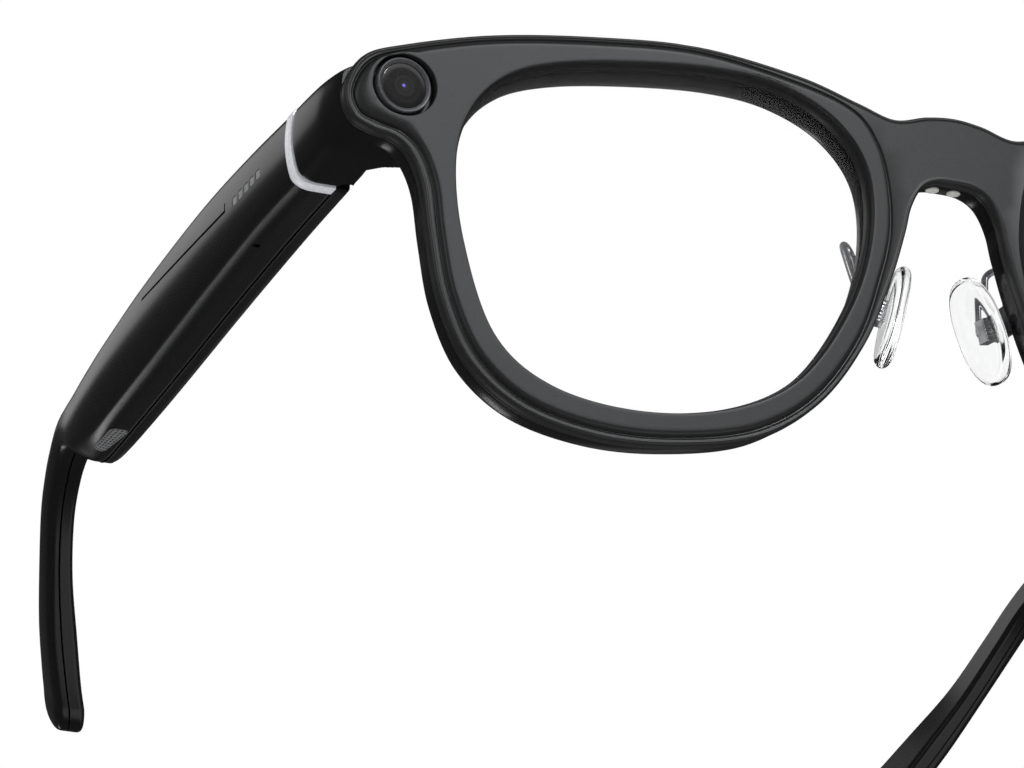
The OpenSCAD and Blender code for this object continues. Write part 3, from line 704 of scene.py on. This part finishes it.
def cover_glass():
    """Dark glass whose depth shows faint rings round the lens behind it."""
    mat, nt, bsdf, at = tree("black_glass")
    centre = nt.nodes.new("ShaderNodeVectorMath")
    centre.operation = "DISTANCE"
    lo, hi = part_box("camera_window")
    centre.inputs[1].default_value = (lo + hi) / 2
    nt.links.new(at, centre.inputs[0])
    ramp = nt.nodes.new("ShaderNodeValToRGB")
    span = spread(nt, centre.outputs["Value"], 0, 1, 0, 0.0028)
    nt.links.new(span, ramp.inputs["Fac"])
    stops = [(0, .004), (.1, .006), (.16, .02), (.3, .013), (.44, .018), (.47, .010), (1, .011)]
    el = ramp.color_ramp.elements
    while len(el) < len(stops):
        el.new(0.5)
    for e, (p, c) in zip(el, stops):
        e.position, e.color = p, (c, c, c * 1.05, 1)
    nt.links.new(ramp.outputs["Color"], bsdf.inputs["Base Color"])
    nt.links.new(spread(nt, noise(nt, at, 3000), .12, .17), bsdf.inputs["Roughness"])
    bsdf.inputs["Specular IOR Level"].default_value = .35
    return mat


def coated_eye_painted_glint():
    """The small front lens, with a blue-violet coating and a faint blue painted glint: it glows a little though it
    is no lamp.
    """
    mat, nt, bsdf, at = tree("coated_eye_painted_glint")
    nt.links.new(two_tone(nt, noise(nt, at, 2500), (.02, .02, .1), (.1, .06, .3)), bsdf.inputs["Base Color"])
    nt.links.new(spread(nt, noise(nt, at, 900), .08, .14), bsdf.inputs["Roughness"])
    bsdf.inputs["Specular Tint"].default_value = (.5, .45, 1, 1)
    # Emission paints a faint blue glint on the lens: it glows though it is no lamp.
    bsdf.inputs["Emission Color"].default_value = (.25, .25, 1, 1)
    bsdf.inputs["Emission Strength"].default_value = .35
    return mat


GLASS, EYE_PAINTED_GLINT = cover_glass(), coated_eye_painted_glint()
BY_SLOT = {
    "satin_shell": SATIN, "gloss_black": GLOSS, "clear_lens": LENS_CLEAR, "dark_metal": DARK,
    "black_glass": GLASS, "black_plastic": PLASTIC, "circuit_board": BOARD, "light_guide": GUIDE,
    "contact_metal": CONTACT, "bright_wire": BRIGHT, "pad_metal": PAD_METAL,
    "clear_silicone": SILICONE, "battery_can": CAN, "grille_mesh": MESH}

# -------- camera, light and floor
AZ, EL, ROLL = math.radians(-21.54), math.radians(-20.28), math.radians(1.0)
back = np.array([math.sin(AZ) * math.cos(EL), -math.cos(AZ) * math.cos(EL), math.sin(EL)])
right = np.cross(-back, [0, 0, 1.0])
right /= np.linalg.norm(right)
above = np.cross(right, -back)
R = math.cos(ROLL) * right + math.sin(ROLL) * above
U = -math.sin(ROLL) * right + math.cos(ROLL) * above
AIM, DISTANCE = np.array([-54.04, 0, -20.63]), 564.74
eye = metres(AIM + back * DISTANCE)[0]
cam = linked("camera", bpy.data.cameras.new("camera"))
cam.matrix_world = Matrix([[R[i], U[i], back[i], eye[i]] for i in range(3)] + [[0, 0, 0, 1]])
cam.data.sensor_width, cam.data.lens = 36, 183.89
cam.data.clip_start, cam.data.clip_end = 0.01, 20
bpy.context.scene.camera = cam
bpy.context.scene.view_settings.view_transform = "Standard"
middle = Vector((0, 0, ZC * MM))


def softbox(name, direction, distance, size, power):
    """A rectangular light that faces the middle of the front from a direction."""
    data = bpy.data.lights.new(name, "AREA")
    data.shape, data.size, data.size_y, data.energy = "RECTANGLE", size[0], size[1], power
    obj = linked(name, data)
    obj.location = middle + Vector(direction).normalized() * distance
    obj.rotation_euler = (middle - obj.location).to_track_quat("-Z", "Y").to_euler()


def spotlight(name, place, aim, spread_angle, power, size):
    """A soft round light from place to aim, both in model mm, that fades from its middle outwards."""
    data = bpy.data.lights.new(name, "SPOT")
    data.energy, data.shadow_soft_size = power, size
    data.color = (.94, .97, 1)
    data.spot_size, data.spot_blend = math.radians(spread_angle), 1.0
    obj = linked(name, data)
    obj.location, target = (Vector(metres(p)[0]) for p in (place, aim))
    obj.rotation_euler = (target - obj.location).to_track_quat("-Z", "Y").to_euler()


softbox("key", (.35, -.8, .75), 1.3, (1.0, .7), 4)
softbox("back_top", (-.36, .85, .42), 1.2, (.65, .28), .42)
softbox("back_low", (-.18, .87, -.45), 1.2, (.28, .08), .34)
softbox("underside", (.38, .87, -.31), 1.2, (.3, .2), .04)
softbox("left", (-1, -.3, .25), 1.2, (.3, .9), 2)
softbox("below", (.344, -.45, -.82), .6, (.5, .5), .5)
spotlight("top_glow", (140, -800, 560), (-30, 0, 24), 7.2, 40, .08)

# A white world for the camera, clear parts and diffuse light, and a faint one in reflections
world = bpy.data.worlds.new("studio")
bpy.context.scene.world = world
world.use_nodes = True
wt = world.node_tree
bg = wt.nodes["Background"]
path = wt.nodes.new("ShaderNodeLightPath")
seen, both = (wt.nodes.new("ShaderNodeMath") for _ in range(2))
seen.operation = both.operation = "MAXIMUM"
wt.links.new(path.outputs["Is Camera Ray"], seen.inputs[0])
wt.links.new(path.outputs["Is Transmission Ray"], both.inputs[0])
wt.links.new(path.outputs["Is Diffuse Ray"], both.inputs[1])
wt.links.new(both.outputs["Value"], seen.inputs[1])
level = wt.nodes.new("ShaderNodeMapRange")
level.inputs["To Min"].default_value, level.inputs["To Max"].default_value = .05, 1.0
wt.links.new(seen.outputs["Value"], level.inputs["Value"])
wt.links.new(level.outputs["Result"], bg.inputs["Strength"])
bg.inputs["Color"].default_value = (1, 1, 1, 1)

floor_mat = surface("floor", (.89, .89, .89), (.9, .9, .9), (.85, .9), 900, (.02, 1e-5))
FLOOR_SIZE, FLOOR_Z = 60, -.65
bpy.ops.mesh.primitive_plane_add(size=FLOOR_SIZE, location=(0, 0, FLOOR_Z))
floor = bpy.context.object
floor.name = "floor"
floor.data.materials.append(floor_mat)
floor.visible_glossy = False

# -------- the front
piece("front_shell", front_shell(), "front", SATIN, ["front_plate"])
hinge = next(j for j in frame["joints"] if j["name"] == "right_arm_fold")["pos_m"]
HX, HY = hinge[0] / MM, hinge[1] / MM - Y0
knuckle_lo, knuckle_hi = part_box("hinge_frame_right")
HZ0, HZ1 = knuckle_lo.z / MM - ZC, knuckle_hi.z / MM - ZC


SWEEP_ROOM, KNUCKLE_ROOM = 1.15, 1.75    # radii cut round the hinge's axis, full height and at the knuckles


def pin_cutter(r, z0, z1, mirror):
    """An upright cylinder on the hinge's axis."""
    c = circle(HX, HY, r, 48)
    rows = [np.column_stack([c, np.full(len(c), z)]) for z in (z0, z1)]
    return Build().loft(rows).mesh("pin_cutter", mirror)


def knuckle_cutter(mirror):
    """Room for the hinge's knuckles, in the end block and in the arm."""
    return pin_cutter(KNUCKLE_ROOM, HZ0 - .3, HZ1 + 1, mirror)


def end_blocks():
    """Both end blocks, relieved round the hinge."""
    out = []
    for name, mirror in SIDES.items():
        block = end_block(f"end_{name}", mirror)
        tools = [pin_cutter(SWEEP_ROOM, -5, 25, mirror), knuckle_cutter(mirror)]
        out.append(combined(f"end_{name}", [block, *tools], "DIFFERENCE"))
    return out


rear = combined("rear_frame_body", [rear_ring(), *end_blocks()], "UNION")
piece("rear_frame_body", rear, "front", GLOSS, ["rear_frame"], sharp=30)

# Turned parts of the camera and the status light: (radius, height in front of the surface)
ring_line = [(2.66, -1.4), (2.66, -.32), (2.68, -.24), (2.74, -.19), (3.02, -.1), (3.1, -.08), (3.18, -.1),
             (3.23, -.16), (3.25, -.26), (3.25, -1.4)]
glass_line = [(2.65, -1.2), (2.65, -.4), (2.6, -.34), (2.55, -.33), (2, -.33), (1.2, -.33), (.6, -.33),
              (.02, -.33)]
eye_line = [(.2, -.36), (.2, -.325), (.18, -.31), (.12, -.3), (.06, -.296), (.01, -.295)]
light_line = [(.86, -1), (.86, -.12), (.82, -.07), (.7, -.05), (.3, -.04), (.01, -.04)]
for name, outline, mirror, slot, material, nodes in (
        ("camera_trim", ring_line, 1, "dark_metal", RING, ["camera_ring"]),
        ("camera_glass", glass_line, 1, "black_glass", GLASS, ["camera_window"]),
        ("camera_eye", eye_line, 1, "black_glass", EYE_PAINTED_GLINT, []),
        ("status_window", light_line, -1, "light_guide", GUIDE, ["status_light"])):
    piece(name, turned(name, outline, mirror), "front", material, nodes)


# -------- fittings of the arms
def station(y):
    """The arm's station at any depth of its top line."""
    k = int(np.clip(np.searchsorted(FINE[:, 0], y), 1, len(FINE) - 1))
    t = (y - FINE[k - 1, 0]) / (FINE[k, 0] - FINE[k - 1, 0])
    return FINE[k - 1] * (1 - t) + FINE[k] * t


def arm_point(y, angle, grow=0.0):
    """Point on a right arm's surface at a station depth and a section angle."""
    s = station(y)
    middle, _, up = section_frame(s)
    r = float(radius(s, np.array([angle]), grow)[0])
    v = r * math.sin(angle)
    return np.array([s[PART_X] - r * math.cos(angle), middle[0] + v * up[0], middle[1] + v * up[1]])


def arm_x(y, z):
    """x of a right arm's outer face at a depth and a height."""
    s = station(y)
    middle, _, _ = section_frame(s)
    a = np.linspace(-1.5, 1.5, 400)
    r = radius(s, a)
    return float(np.interp(z - middle[1], r * np.sin(a), s[PART_X] - r * np.cos(a)))


def side_prisms(name, outlines, proud, deep, grow=0.0):
    """Prisms on an arm's outer face, from y, z outlines; they stand proud and go in deep."""
    b = Build()
    for outline in outlines:
        loop = np.asarray(outline, float)
        face = np.array([arm_x(y, z) for y, z in loop])
        loop = loop + normals(loop) * grow
        b.loft([np.column_stack([face + x, loop]) for x in (deep, -proud)])
    return b.mesh(name)


def slot_outline(y0, y1, z0, z1, r):
    """Rounded rectangle in y, z."""
    out = []
    corners = ((y1 - r, z1 - r, 0), (y0 + r, z1 - r, 90), (y0 + r, z0 + r, 180), (y1 - r, z0 + r, 270))
    for cy, cz, a0 in corners:
        for k in range(6):
            t = math.radians(a0 + 90 * k / 5)
            out.append([cy + r * math.cos(t), cz + r * math.sin(t)])
    return np.array(out)


def stepped(points, pitch):
    """A closed outline with its long edges divided."""
    out = []
    for a, b in zip(points, points[1:] + points[:1]):
        n = max(int(math.dist(a, b) / pitch), 1)
        out += [[a[0] + (b[0] - a[0]) * k / n, a[1] + (b[1] - a[1]) * k / n] for k in range(n)]
    return np.array(out)


def rod(name, start, direction, length, r, mirror):
    """A plain cylinder, used for cutting."""
    d = Vector(direction).normalized()
    side = d.orthogonal().normalized()
    other = d.cross(side)
    a = np.linspace(0, 2 * math.pi, 32, endpoint=False)
    loop = r * (np.outer(np.cos(a), side) + np.outer(np.sin(a), other))
    rows = [np.array(start) + loop, np.array(start) + np.array(d) * length + loop]
    return Build().loft(rows).mesh(name, mirror)


BAR_PITCH, BAR_FALL = 1.95, .07    # from one light bar to the next, in y and down in z
BARS = [slot_outline(27.3 + BAR_PITCH * i, 28.5 + BAR_PITCH * i, 10.5 - BAR_FALL * i, 11.4 - BAR_FALL * i,
                     .12) for i in range(5)]
GROOVE = stepped([[38.9, 10.4], [70, 10.4], [70, 10.75], [39.25, 10.75], [39.25, 11.6], [38.9, 11.6]], 1.0)
MIC_START, MIC_WAY = (-70.6, 35.5, 7.2), (-.574, 0, -.819)
# Speaker grille: stations along the arm, and section angles of its outer and inner edge at both ends
GRILLE_Y, GRILLE_OUT, GRILLE_IN = (90.9, 99.0), (-1.12, -1.09), (-1.53, -1.34)


def grille_point(u, v, grow):
    """Point of the speaker grille: u along the arm, v from its outer edge inwards, both 0 to 1."""
    pull = 0.1 * abs(2 * v - 1) ** 6
    along = 0.5 + (u - 0.5) * (1 - pull)
    tuck = 0.12 * abs(2 * u - 1) ** 8
    across = 0.5 + (v - 0.5) * (1 - tuck)
    first = GRILLE_OUT[0] + (GRILLE_OUT[1] - GRILLE_OUT[0]) * along
    last = GRILLE_IN[0] + (GRILLE_IN[1] - GRILLE_IN[0]) * along
    return arm_point(GRILLE_Y[0] + (GRILLE_Y[1] - GRILLE_Y[0]) * along, first + (last - first) * across, grow)


def grille_edge(grow, reach=0.0):
    """Loop round the grille's border, widened by reach in its own 0 to 1 measure."""
    lo, hi = -reach, 1 + reach
    line = np.linspace(lo, hi, 21)[:-1]
    track = [(t, lo) for t in line] + [(hi, t) for t in line]
    track += [(lo + hi - t, hi) for t in line] + [(lo, lo + hi - t) for t in line]
    return [grille_point(min(max(u, lo), hi), v, grow) for u, v in track]


CELLS, HOLE = (10, 4), 0.34        # cells of the grille, and a hole's radius in cells
GRILLE_TOP, GRILLE_UNDER = 0.05, -0.4


def grille(name, mirror):
    """Perforated plate: a grid of cells, each with an eight-sided hole through it."""
    b = Build()
    across = [(1, 0), (1, 1), (0, 1), (-1, 1), (-1, 0), (-1, -1), (0, -1), (1, -1)]
    for i in range(CELLS[0]):
        for j in range(CELLS[1]):
            rim, back, top, under = [], [], [], []
            for p, q in across:
                u, v = (i + 0.5 + 0.5 * p) / CELLS[0], (j + 0.5 + 0.5 * q) / CELLS[1]
                turn = HOLE / math.hypot(p, q)
                hu, hv = (i + 0.5 + turn * p) / CELLS[0], (j + 0.5 + turn * q) / CELLS[1]
                rim.append(grille_point(u, v, GRILLE_TOP))
                back.append(grille_point(u, v, GRILLE_UNDER))
                top.append(grille_point(hu, hv, GRILLE_TOP))
                under.append(grille_point(hu, hv, GRILLE_UNDER))
            b.grid([rim, top, under, back])
            borders = [((7, 0, 1), i == CELLS[0] - 1), ((3, 4, 5), i == 0),
                       ((1, 2, 3), j == CELLS[1] - 1), ((5, 6, 7), j == 0)]
            for order, at_border in borders:
                if at_border:
                    b.grid([[rim[k] for k in order], [back[k] for k in order]], close_u=False)
    return b.mesh(name, mirror)


def grille_pocket(mirror):
    """Cutter for the pocket that the grille lies in."""
    return Build().loft([grille_edge(g, 0.02) for g in (-1.1, 1.2)]).mesh("grille_pocket", mirror)


def model_box(node):
    """Corners of a CAD node in model mm."""
    return [Vector(c) / MM - Vector((0, Y0, ZC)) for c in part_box(node)]


button_lo, button_hi = model_box("capture_button")
BUTTON_GAP = 0.12
MIC_RADIUS = .42
for name, mirror in SIDES.items():
    body = f"{name}_arm"
    reach = knuckle_cutter(mirror)
    shell = arm_half(f"arm_outer_{name}", OUTER, mirror)
    cover = arm_half(f"arm_inner_{name}", INNER, mirror)
    cutters = [reach, rod("mic_hole", MIC_START, MIC_WAY, 6, MIC_RADIUS, mirror), grille_pocket(mirror)]
    if name == "right":
        cutters.append(side_prisms("bar_pockets", BARS, 1, .35, .08))
        cutters.append(side_prisms("groove", [GROOVE], 1, .3))
        low = button_lo - Vector((BUTTON_GAP, BUTTON_GAP, .55))
        high = button_hi + Vector((BUTTON_GAP, BUTTON_GAP, 2))
        cutters.append(box_mesh("button_pocket", low, high))
    shell = combined(f"arm_outer_{name}", [shell, *cutters], "DIFFERENCE")
    piece(f"arm_outer_{name}", shell, body, GLOSS, [f"arm_shell_{name}"])
    cover = combined(f"arm_inner_{name}", [cover, reach], "DIFFERENCE")
    piece(f"arm_inner_{name}", cover, body, GLOSS, [f"arm_cover_{name}"])
    piece(f"arm_trim_{name}", trim_band(f"arm_trim_{name}", mirror), body, SILVER,
          [f"trim_ring_{name}"])
    piece(f"speaker_mesh_{name}", grille(f"speaker_mesh_{name}", mirror), body, MESH,
          [f"speaker_grille_{name}"])
bars = side_prisms("light_bar_row", BARS, -.03, .6)
piece("light_bar_row", bars, "right_arm", GUIDE, ["light_bars"])
line = side_prisms("touch_groove_line", [GROOVE], -.16, .5, -.01)
piece("touch_groove_line", line, "right_arm", PLASTIC, ["touch_strip"])
piece("capture_key", box_mesh("capture_key", button_lo, button_hi, bevel=.3), "button", GLOSS,
      ["capture_button"])


def hook_spring(name, mirror):
    """Flat spring inside the ear hook."""
    flat = np.array([[-.35, -.5], [.35, -.5], [.35, .5], [-.35, .5]])
    rows = [place(s, flat + [s[PART_X], 0]) for s in FINE if 113 < s[0] < 141]
    return Build().loft(rows).mesh(name, mirror)


for name, mirror in SIDES.items():
    spring = hook_spring(f"hook_spring_{name}", mirror)
    piece(f"hook_spring_{name}", spring, f"{name}_arm", PAD_METAL, [f"tip_core_{name}"])


# -------- charging contacts
def contact(node, x):
    """Round contact with a domed face under the bridge."""
    lo, hi = model_box(node)
    y = (lo.y + hi.y) / 2
    rows = []
    for r, z in ((.8, 1.6), (.8, .12), (.77, .05), (.68, .01), (.45, -.02), (.2, -.03), (.01, -.03)):
        loop = circle(x, y, r, 48)
        rows.append(np.column_stack([loop, np.full(len(loop), lo.z + .03 + z)]))
    return Build().loft(rows).mesh(node)


CONTACT_X = 1.35
for name, mirror in SIDES.items():
    node = f"charging_contact_{name}"
    piece(f"contact_{name}", contact(node, -CONTACT_X * mirror), "front", CONTACT, [node])


# -------- nose pads and their wires
PAD_AT, PAD_TILT, PAD_SPLAY = np.array([-5.5, 5.8, -3.2]), math.radians(14), math.radians(12)
PIN_X, PIN_REACH, PIN_FAR = -2.1, 1.75, .88    # the wire's pin in the pad's frame, and both its ends


def in_pad(points):
    """Points of the right pad's own frame in the model frame."""
    p = np.asarray(points, float).reshape(-1, 3)
    x = p[:, 0] * math.cos(PAD_SPLAY) + p[:, 1] * math.sin(PAD_SPLAY)
    y = p[:, 1] * math.cos(PAD_SPLAY) - p[:, 0] * math.sin(PAD_SPLAY)
    z = p[:, 2]
    turned_x = x * math.cos(PAD_TILT) + z * math.sin(PAD_TILT)
    turned_z = z * math.cos(PAD_TILT) - x * math.sin(PAD_TILT)
    return np.stack([turned_x, y, turned_z], 1) + PAD_AT


def pad(name, mirror):
    """Clear soft pad: a slanted oval with rounded edges and a slightly hollow face."""
    a = np.linspace(0, 2 * math.pi, 96, endpoint=False)
    oval = np.stack([3.7 * np.sign(np.cos(a)) * np.abs(np.cos(a)) ** 0.86,
                     6.7 * np.sign(np.sin(a)) * np.abs(np.sin(a)) ** 0.86], 1)
    oval[:, 0] += 0.14 * oval[:, 1]
    n = normals(oval)
    line = [(1.1, -.95), (.8, -.93), (.5, -.82), (.22, -.6), (.06, -.32), (0, -.03), (.06, .26), (.22, .53),
            (.5, .74), (.8, .84), (1.1, .86)]
    core = [(oval - n * 1.1) * k for k in (.02, .25, .5, .75, .92)]
    flat = [(r, -.95) for r in core] + [(oval - n * d, x) for d, x in line]
    flat += [(r, x) for r, x in zip(core[::-1], (.85, .83, .8, .78, .77))]
    every = [in_pad(np.column_stack([np.full(len(r), x), r])) for r, x in flat]
    return Build().loft(every).mesh(name, mirror)


def pad_block(name, mirror):
    """Ribbed metal block behind a pad, drilled for the wire."""
    z = np.linspace(-1.38, 1.38, 61)
    y = 0.88 - 0.1 * (0.5 - 0.5 * np.cos(2 * math.pi * z / 0.46))
    loop = np.concatenate([np.stack([y, z], 1), np.stack([-y, z], 1)[::-1]])
    rows = []
    for x, k in ((-2.6, .9), (-2.5, .97), (-2.4, 1), (-1.1, 1), (-1.0, .97), (-.96, .9)):
        rows.append(in_pad(np.column_stack([np.full(len(loop), x), loop * k])))
    block = Build().loft(rows).mesh(name, mirror)
    ends = in_pad([[PIN_X, -2, 0], [PIN_X, 2, 0]])
    drill = rod("pin_hole", ends[0], ends[1] - ends[0], 4, .48, mirror)
    return combined(name, [block, drill], "DIFFERENCE")


def wire_path():
    """Up from the clip, round the half turn, down to the pad and along its pin."""
    way = np.array([-.155, .27, .95])
    way /= np.linalg.norm(way)
    foot_a, foot_b = np.array([-9.4, 6.9, -.5]), in_pad([PIN_X, PIN_REACH, 0])[0]
    leg_a = 5.9
    leg_b = leg_a + (foot_a - foot_b) @ way
    top_a, top_b = foot_a + leg_a * way, foot_b + leg_b * way
    middle, half = (top_a + top_b) / 2, (top_a - top_b) / 2
    span = np.linalg.norm(half)
    out = [foot_a + way * t for t in np.linspace(0, leg_a, 7)[:-1]]
    for t in np.linspace(0, math.pi, 17):
        out.append(middle + half * math.cos(t) + way * span * math.sin(t))
    bend, pin_end = 0.7, in_pad([PIN_X, -PIN_FAR, 0])[0]
    along = (pin_end - foot_b) / np.linalg.norm(pin_end - foot_b)
    out += [foot_b + way * t for t in np.linspace(leg_b, bend, 8)[1:]]
    for t in np.linspace(0, 1, 9)[1:]:
        out.append(foot_b + way * bend * (1 - t) ** 2 + along * bend * t ** 2)
    out += [foot_b + along * (bend + (PIN_REACH + PIN_FAR - bend) * t) for t in np.linspace(0, 1, 5)[1:]]
    return out


WIRE_RADIUS = .42
for name, mirror in SIDES.items():
    body = f"{name}_pad"
    piece(f"pad_{name}", pad(f"pad_{name}", mirror), body, SILICONE, [f"nose_pad_{name}"],
          sharp=60)
    block = pad_block(f"pad_block_{name}", mirror)
    piece(f"pad_block_{name}", block, body, PAD_METAL, [f"pad_mount_{name}"])
    wire = tube(f"pad_wire_{name}", wire_path(), WIRE_RADIUS, mirror)
    piece(f"pad_wire_{name}", wire, "front", BRIGHT, [f"pad_arm_{name}"])
    clip = box_mesh(f"pad_grip_{name}", (-9.9, 4.7, -2.8), (-8.6, 7.5, .6), mirror, .16)
    piece(f"pad_grip_{name}", clip, "front", DARK, [f"pad_clip_{name}"])

# -------- everything the CAD draws well enough
slots = {s["node"]: s["material_slot"] for s in frame["record"]["subparts"]}
for node, obj in frame["nodes"].items():
    obj.data.materials.clear()
    obj.data.materials.append(BY_SLOT[slots[node]])
